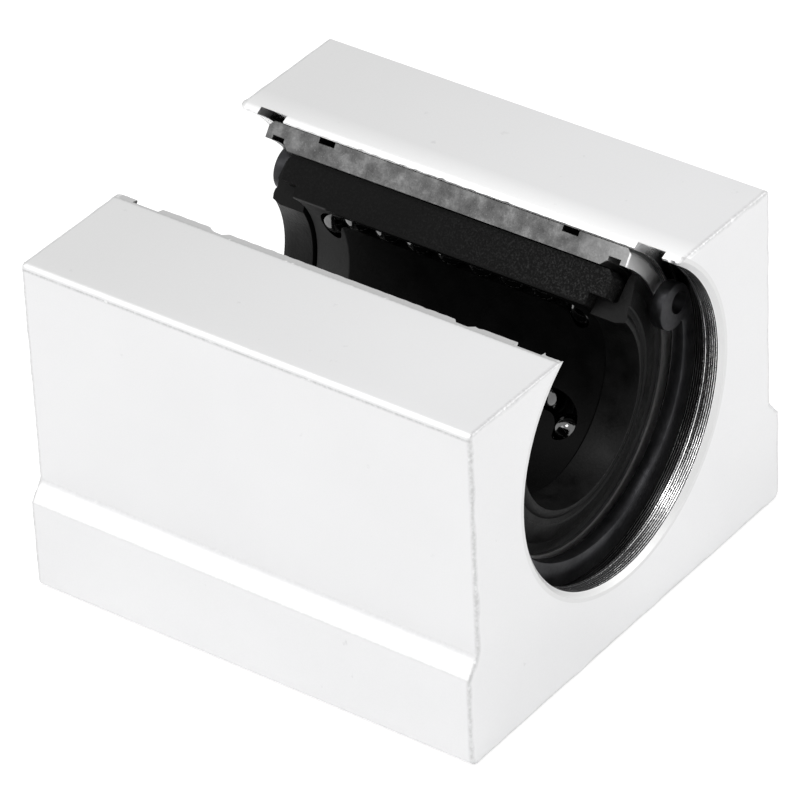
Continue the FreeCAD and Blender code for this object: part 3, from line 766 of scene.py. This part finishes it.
bevel = 0.5
cage_side = [
    (cage_race_end, cage_outer), (cage_race_end + 0.05, cage_outer),
    (cage_half - bevel, cage_outer), (cage_half, cage_outer - bevel),
    (cage_half, collar_seat), (collar_seat_end, collar_seat),
    (collar_seat_end, cage_bore + 0.15), (collar_seat_end - 0.15, cage_bore),
]
cage_profile = cage_side + [(-along, radius) for along, radius in reversed(cage_side)]
cage_profile = cage_profile[::-1]
cage_parts = swept_ring(cage_profile, cage_middle, slot_edge, -180 - slot_edge, 200, over_races, broken=0.04)
cage_mesh = join_parts("cage_blank", cage_parts)
cage_blank = bpy.data.objects.new("cage_blank", cage_mesh)
bpy.context.scene.collection.objects.link(cage_blank)


def cut_away(blank, name, cutters):
    """Blank less its cutters, as a new mesh; the helpers are removed."""
    for cutter in cutters:
        step = blank.modifiers.new(cutter.name, "BOOLEAN")
        step.object = cutter
        step.operation = "DIFFERENCE"
        step.solver = "EXACT"
    bpy.context.view_layer.update()
    shaped = bpy.data.meshes.new_from_object(
        blank.evaluated_get(bpy.context.evaluated_depsgraph_get())
    )
    shaped.name = name
    for helper in [blank, *cutters]:
        bpy.data.objects.remove(helper)
    return shaped


lane_cutters = []
for circuit, (angle, side) in circuits.items():
    band = lane_solid(angle, side)
    lane_mesh = join_parts(f"lane_{circuit}", [(band.reshape(-1, 3), [closed_band(band)])])
    cutter = bpy.data.objects.new(f"lane_{circuit}", lane_mesh)
    bpy.context.scene.collection.objects.link(cutter)
    lane_cutters.append(cutter)
# The slot is a wedge. Its walls stand a little behind those of the sleeve.
wedge_reach = 30.0
half_opening = math.radians(90 - slot_edge)
apex = cage_setback / math.sin(half_opening)
side_reach = wedge_reach * math.tan(half_opening)
wedge = np.array([
    (x, y, shaft_height + z)
    for y in (-wedge_reach, wedge_reach)
    for x, z in ((0, -apex), (side_reach, wedge_reach - apex), (-side_reach, wedge_reach - apex))
])
wedge_faces = [[[0, 1, 2], [5, 4, 3]], [[0, 3, 4, 1], [1, 4, 5, 2], [2, 5, 3, 0]]]
wedge_mesh = join_parts("slot_wedge", [(wedge, wedge_faces)])
slot_wedge = bpy.data.objects.new("slot_wedge", wedge_mesh)
bpy.context.scene.collection.objects.link(slot_wedge)
cage_shape = cut_away(cage_blank, "ball_cage", [slot_wedge, *lane_cutters])
cage_shape.shade_smooth()
cage_shape.set_sharp_from_angle(angle=math.radians(35))
acetal = Finish("black_acetal", IOR=1.48, Specular_IOR_Level=0.06)
pebble = acetal.noise(5200, 5, roughness=0.7)
drift = acetal.noise(420, 3)
along_cage = acetal.coordinates()[1]
off_axis = acetal.from_shaft()
# The saw left its face grainier towards the front.
grains = acetal.product(
    acetal.spread(along_cage, -14 * MM, 4 * MM, 1.0, 0.15), acetal.past(off_axis, 8.5, 0.1),
    acetal.spread(pebble, 0.48, 0.74),
)
# Painted sheen: the rear end of its bore is painted a little lighter, for light falling there.
painted_rear_sheen = acetal.product(acetal.short_of(off_axis, 8.45, 0.05), acetal.past(along_cage, 11.7, 0.1))
acetal_tone = acetal.shades(drift, [(0.3, grey(0.003)), (0.7, grey(0.006))])
acetal_tone = acetal.tint(grains, acetal_tone, 0.05)
acetal_tone = acetal.tint(painted_rear_sheen, acetal_tone, 0.06)
acetal_marks = acetal.relief(pebble, 0.5, 0.00005)
acetal_finish = acetal.done(acetal_tone, acetal.spread(drift, 0.3, 0.7, 0.40, 0.52), acetal_marks)
place("ball_cage_moulding", cage_shape, acetal_finish, "block", ["ball_cage"])


# ------------------------------------------------------------------ balls
# The balls are polished bearing steel. Seven in each circuit carry the shaft,
# seven come back behind them, and one is in each turn.
ball_pitch = 3.2
row_balls = 7


def ball(centre):
    """Sphere of 32 by 16 faces: centre plus the radius times the usual
    cosines and sines of longitude and latitude."""
    gores, bands = 32, 16
    longitude = np.arange(gores) * 2 * np.pi / gores
    latitude = np.linspace(-np.pi / 2, np.pi / 2, bands + 1)
    level, turn = np.meshgrid(latitude, longitude, indexing="ij")
    points = np.stack([
        np.cos(level) * np.cos(turn), np.cos(level) * np.sin(turn), np.sin(level)
    ], axis=-1)
    faces = grid_faces(bands + 1, gores, around=True, flip=True)
    return points.reshape(-1, 3) * ball_radius + centre, [faces]


polished = Finish("polished_balls", Metallic=1.0)
haze = polished.noise(1500, 3)
# Painted shade: the balls are coloured far darker than polished steel, for the shade inside the cage.
shaded_ball_tone = polished.shades(haze, [(0.3, grey(0.13)), (0.7, grey(0.18))])
ball_finish = polished.done(shaded_ball_tone, polished.spread(haze, 0.3, 0.7, 0.06, 0.12))
for circuit, (angle, side) in circuits.items():
    middle, across, along, away, turn_radius = circuit_frame(angle, side)
    steps = (np.arange(row_balls) - (row_balls - 1) / 2) * ball_pitch
    bend_top = lane_end + turn_radius
    sets = {
        "loaded_balls": [across * turn_radius + along * step for step in steps],
        "return_balls": [-across * turn_radius + along * step for step in steps],
        "front_turn_ball": [-along * bend_top * side],
        "rear_turn_ball": [along * bend_top * side],
    }
    for group, centres in sets.items():
        node = f"{circuit}_{group}"
        balls = join_parts(f"polished_{node}", [ball(middle + centre) for centre in centres], 80)
        place(f"polished_{node}", balls, ball_finish, node, [node])


# ------------------------------------------------------------------ seals
# Each seal is a C of nitrile rubber between the cage's end and the circlip. Its
# collar sits in the cage, its rim in the sleeve's mouth, and its lip wipes the
# shaft.
seal_profile = [
    (15.14, 8.05), (17.49, 8.05), (18.34, 8.30), (18.34, 8.60), (18.25, 8.90), (18.04, 9.12),
    (17.98, 9.62), (18.07, 9.76), (17.76, 11.25), (17.62, 11.40), (17.55, 11.90), (17.54, 12.33),
    (17.17, 12.33), (17.05, 11.90), (17.05, 9.60), (16.74, 9.43), (15.14, 9.43),
]
rubber = Finish("nitrile_rubber", IOR=1.5, Specular_IOR_Level=0.12)
rubber_grain = rubber.noise(3800, 5)
bloom = rubber.noise(500, 3)
rubber_tone = rubber.shades(bloom, [(0.3, grey(0.003)), (0.7, grey(0.008))])
rubber_marks = rubber.relief(rubber_grain, 0.5, 0.00006)
rubber_finish = rubber.done(rubber_tone, rubber.spread(bloom, 0.3, 0.7, 0.34, 0.55), rubber_marks)


def steep_cut(radius):
    """The rear seal's ends are cut nearly upright: 11 degrees lower at the
    lip, and no lower from 10.5 mm outward."""
    return np.interp(radius, [8.05, 9.7, 10.5], [11.0, 3.0, 0.0])


seal_edge = 41
for seal_name, end, lean in (("front_seal", -1, None), ("rear_seal", 1, steep_cut)):
    profile = [(end * along, radius) for along, radius in seal_profile]
    if end > 0:
        profile = profile[::-1]
    seal_parts = swept_ring(profile, cage_middle, seal_edge, -180 - seal_edge, 160, broken=0.08, lean=lean)
    place(f"{seal_name}_rubber", join_parts(seal_name, seal_parts), rubber_finish,
          "block", [seal_name])


# --------------------------------------------------------------- circlips
# The circlips are punched from spring steel and phosphated black. They sit in
# the block's grooves at both ends, with a round lug and an eye for the pliers
# at each tip.
ring_radius = 14.65
ring_thickness = 1.2
belly_shift = 0.55
ring_bore = 12.9
lug_radius = 2.1
lug_angle = 20
eye_radius = 1.05
eye_faces = 48
round_over = 0.1
lug_way = np.array([math.cos(math.radians(lug_angle)), math.sin(math.radians(lug_angle))])
lug_middle = (ring_radius - lug_radius - 0.04) * lug_way
eye_middle = (ring_radius - 1.55) * lug_way


def ring_outline():
    """Outline of the punched ring, anticlockwise from its right lug: round
    the lug, then along the inner arc to the left lug and back outside."""
    lug = lug_middle + arc((0, 0), lug_radius, 0, 360, 96)
    from_bore = np.hypot(lug[:, 0], lug[:, 1] - belly_shift)
    turned_by = np.degrees(np.arctan2(lug[:, 1], lug[:, 0]))
    free = (turned_by > lug_angle) | (from_bore < ring_bore)
    start = int(np.flatnonzero(free & ~np.roll(free, 1))[0])
    tip = np.roll(lug, -start, axis=0)[: int(free.sum())]
    first_bore = math.degrees(math.atan2(tip[-1][1] - belly_shift, tip[-1][0]))
    inner = arc((0, belly_shift), ring_bore, first_bore - 1, -180 - first_bore + 1, 150)
    first_outer = math.degrees(math.atan2(tip[0][1], tip[0][0]))
    outer = arc((0, 0), ring_radius, -180 - first_outer + 1, first_outer - 1, 170)
    left_tip = tip[::-1] * (-1, 1)
    return np.concatenate([tip, inner, left_tip, outer])


spring = Finish("phosphated_steel", Metallic=0.85)
spring_grain = spring.noise(4200, 4)
spring_drift = spring.noise(600, 3)
spring_tone = spring.shades(spring_drift, [(0.3, (0.020, 0.020, 0.022)), (0.7, (0.045, 0.045, 0.048))])
spring_gloss = spring.spread(spring_grain, 0.3, 0.7, 0.34, 0.5)
spring_finish = spring.done(spring_tone, spring_gloss, spring.relief(spring_grain, 0.25, 0.00003))
for ring_name, ring_middle in (("front_circlip", -18.8), ("rear_circlip", 19.95)):
    outline = ring_outline()
    loop_normal = outward(outline)
    half = ring_thickness / 2
    loops = []
    for inset, y in ((round_over, -half), (0.03, round_over * 0.3 - half), (0, round_over - half),
                     (0, half - round_over), (0.03, half - round_over * 0.3), (round_over, half)):
        shrunk = outline - loop_normal * inset
        loops.append(np.stack([shrunk[:, 0], np.full(len(shrunk), ring_middle + y),
                               shaft_height + shrunk[:, 1]], axis=1))
    ring_parts = [(np.concatenate(loops), [grid_faces(len(loops), len(outline), around=True)])]
    eyes = [arc((side * eye_middle[0], shaft_height + eye_middle[1]), eye_radius, 0, 360, eye_faces)
            for side in (-1, 1)]
    for loop, y in ((loops[0], -half), (loops[-1], half)):
        ring_parts.append(filled(loop[:, [0, 2]], upright(ring_middle + y), y > 0, eyes))
    for eye in eyes:
        tube = [upright(ring_middle + y)(eye) for y in (-half, half)]
        ring_parts.append((np.concatenate(tube), [grid_faces(2, eye_faces, around=True, flip=True)]))
    place(f"{ring_name}_punching", join_parts(f"{ring_name}_punching", ring_parts), spring_finish,
          "block", [ring_name])


# ------------------------------------------------------------- set screw
# A cup-point socket set screw, blackened, is screwed into the side of the
# block and holds the sleeve.
screw_rows = [(14.02, 0.0), (14.3, 0.9), (14.02, 1.5), (14.12, 2.08)]
screw_rows += [(14.35 + 0.2 * n, 2.46 - 0.22 * (n % 2)) for n in range(27)]
screw_rows += [(19.85, 2.2), (20.02, 2.05), (20.02, 1.5)]
screw_sides = 72
turn = np.arange(screw_sides) * 2 * np.pi / screw_sides
round_section = np.ones(screw_sides)
hexagon = 1.25 / np.cos(np.mod(turn + np.pi / 6, np.pi / 3) - np.pi / 6)
screw_sections = [(x, radius * round_section) for x, radius in screw_rows]
screw_sections += [(20.02, hexagon), (17.6, hexagon), (17.2, 0 * hexagon)]
screw_grid = np.concatenate([
    np.stack([np.full(screw_sides, x), radius * np.cos(turn), shaft_height + radius * np.sin(turn)], axis=1)
    for x, radius in screw_sections
])
screw_faces = grid_faces(len(screw_sections), screw_sides, around=True, flip=True)
blackened = Finish("blackened_steel", Metallic=0.9)
screw_grain = blackened.noise(4000, 3)
screw_tone = blackened.shades(screw_grain, [(0.3, grey(0.03)), (0.7, grey(0.07))])
screw_finish = blackened.done(screw_tone, blackened.spread(screw_grain, 0.3, 0.7, 0.3, 0.45))
place("socket_set_screw", join_parts("socket_set_screw", [(screw_grid, [screw_faces])], 25),
      screw_finish, "block", ["set_screw"])


# ------------------------------------------------------ floor and lighting
# A plain pale floor under a white studio, soft lamps above and in front, and a
# camera with a long lens.
floor_mesh = bpy.data.meshes.new("floor")
floor_size = 3.0
floor_mesh.from_pydata(
    [(-floor_size, -floor_size, 0), (floor_size, -floor_size, 0),
     (floor_size, floor_size, 0), (-floor_size, floor_size, 0)], [], [(0, 1, 2, 3)]
)
floor = bpy.data.objects.new("floor", floor_mesh)
bpy.context.scene.collection.objects.link(floor)
floor_paint = Finish("pale_floor", Roughness=0.9)
seen = floor_paint.tree.nodes.new("ShaderNodeLightPath").outputs
shown_directly = floor_paint.math("MAXIMUM", seen["Is Camera Ray"], floor_paint.math(
    "MAXIMUM", seen["Is Glossy Ray"], seen["Is Transmission Ray"]
))
floor_paint.surface.inputs["Base Color"].default_value = (0.62, 0.62, 0.62, 1)
floor_paint.surface.inputs["Emission Color"].default_value = (1, 1, 1, 1)
floor_paint.link(floor_paint.surface.inputs["Emission Strength"], floor_paint.math(
    "MULTIPLY", shown_directly, 0.52
))
floor_mesh.materials.append(floor_paint.material)

world = bpy.data.worlds.new("studio")
bpy.context.scene.world = world
world.use_nodes = True
sky = world.node_tree
path = sky.nodes.new("ShaderNodeLightPath").outputs
backdrop = None
for kind in ("Is Camera Ray", "Is Glossy Ray", "Is Transmission Ray"):
    if backdrop is None:
        backdrop = path[kind]
        continue
    either = sky.nodes.new("ShaderNodeMath")
    either.operation = "MAXIMUM"
    sky.links.new(backdrop, either.inputs[0])
    sky.links.new(path[kind], either.inputs[1])
    backdrop = either.outputs[0]
strength = sky.nodes.new("ShaderNodeMapRange")
strength.inputs["To Min"].default_value = 0.75
strength.inputs["To Max"].default_value = 1.0
sky.links.new(backdrop, strength.inputs["Value"])
sky.nodes["Background"].inputs["Color"].default_value = (1, 1, 1, 1)
sky.links.new(strength.outputs[0], sky.nodes["Background"].inputs["Strength"])


def lamp(name, place_at, look_at, size, power):
    """Square area lamp, places in millimetres, turned towards a point."""
    light = bpy.data.lights.new(name, "AREA")
    light.size = size * MM
    light.energy = power
    stand = bpy.data.objects.new(name, light)
    bpy.context.scene.collection.objects.link(stand)
    place_at, look_at = Vector(place_at) * MM, Vector(look_at) * MM
    stand.location = place_at
    stand.rotation_mode = "QUATERNION"
    stand.rotation_quaternion = (look_at - place_at).to_track_quat("-Z", "Y")


lamp("key", (-290, 230, 290), (0, 0, 20), 240, 0.33)
lamp("top", (-120, 60, 400), (0, 0, 20), 90, 0.3)
lamp("side", (-330, -110, 260), (0, 0, 20), 120, 0.14)
lamp("fill", (260, -320, 220), (60, -60, 0), 240, 0.3)

azimuth, elevation, roll = -0.913159643, 0.604161913, -0.046344468
distance, focal, image_side = 493.6927, 5933.06, 800
shift_right, shift_up = 0.304797, 2.040884
target = np.array([0, 0, 17.0])
right = np.array([math.cos(azimuth), math.sin(azimuth), 0])
back = np.array([
    math.sin(azimuth) * math.cos(elevation), -math.cos(azimuth) * math.cos(elevation),
    math.sin(elevation),
])
up = np.cross(back, right)
rolled_right = math.cos(roll) * right + math.sin(roll) * up
rolled_up = math.cos(roll) * up - math.sin(roll) * right
spot = target - shift_right * rolled_right - shift_up * rolled_up + distance * back
view = bpy.data.cameras.new("view")
view.sensor_width = 36
view.lens = focal * view.sensor_width / image_side
view.clip_start = 0.01
camera = bpy.data.objects.new("view", view)
bpy.context.scene.collection.objects.link(camera)
camera.matrix_world = Matrix([
    [rolled_right[0], rolled_up[0], back[0], spot[0] * MM],
    [rolled_right[1], rolled_up[1], back[1], spot[1] * MM],
    [rolled_right[2], rolled_up[2], back[2], spot[2] * MM],
    [0, 0, 0, 1],
])
bpy.context.scene.camera = camera
bpy.context.scene.view_settings.view_transform = "Standard"
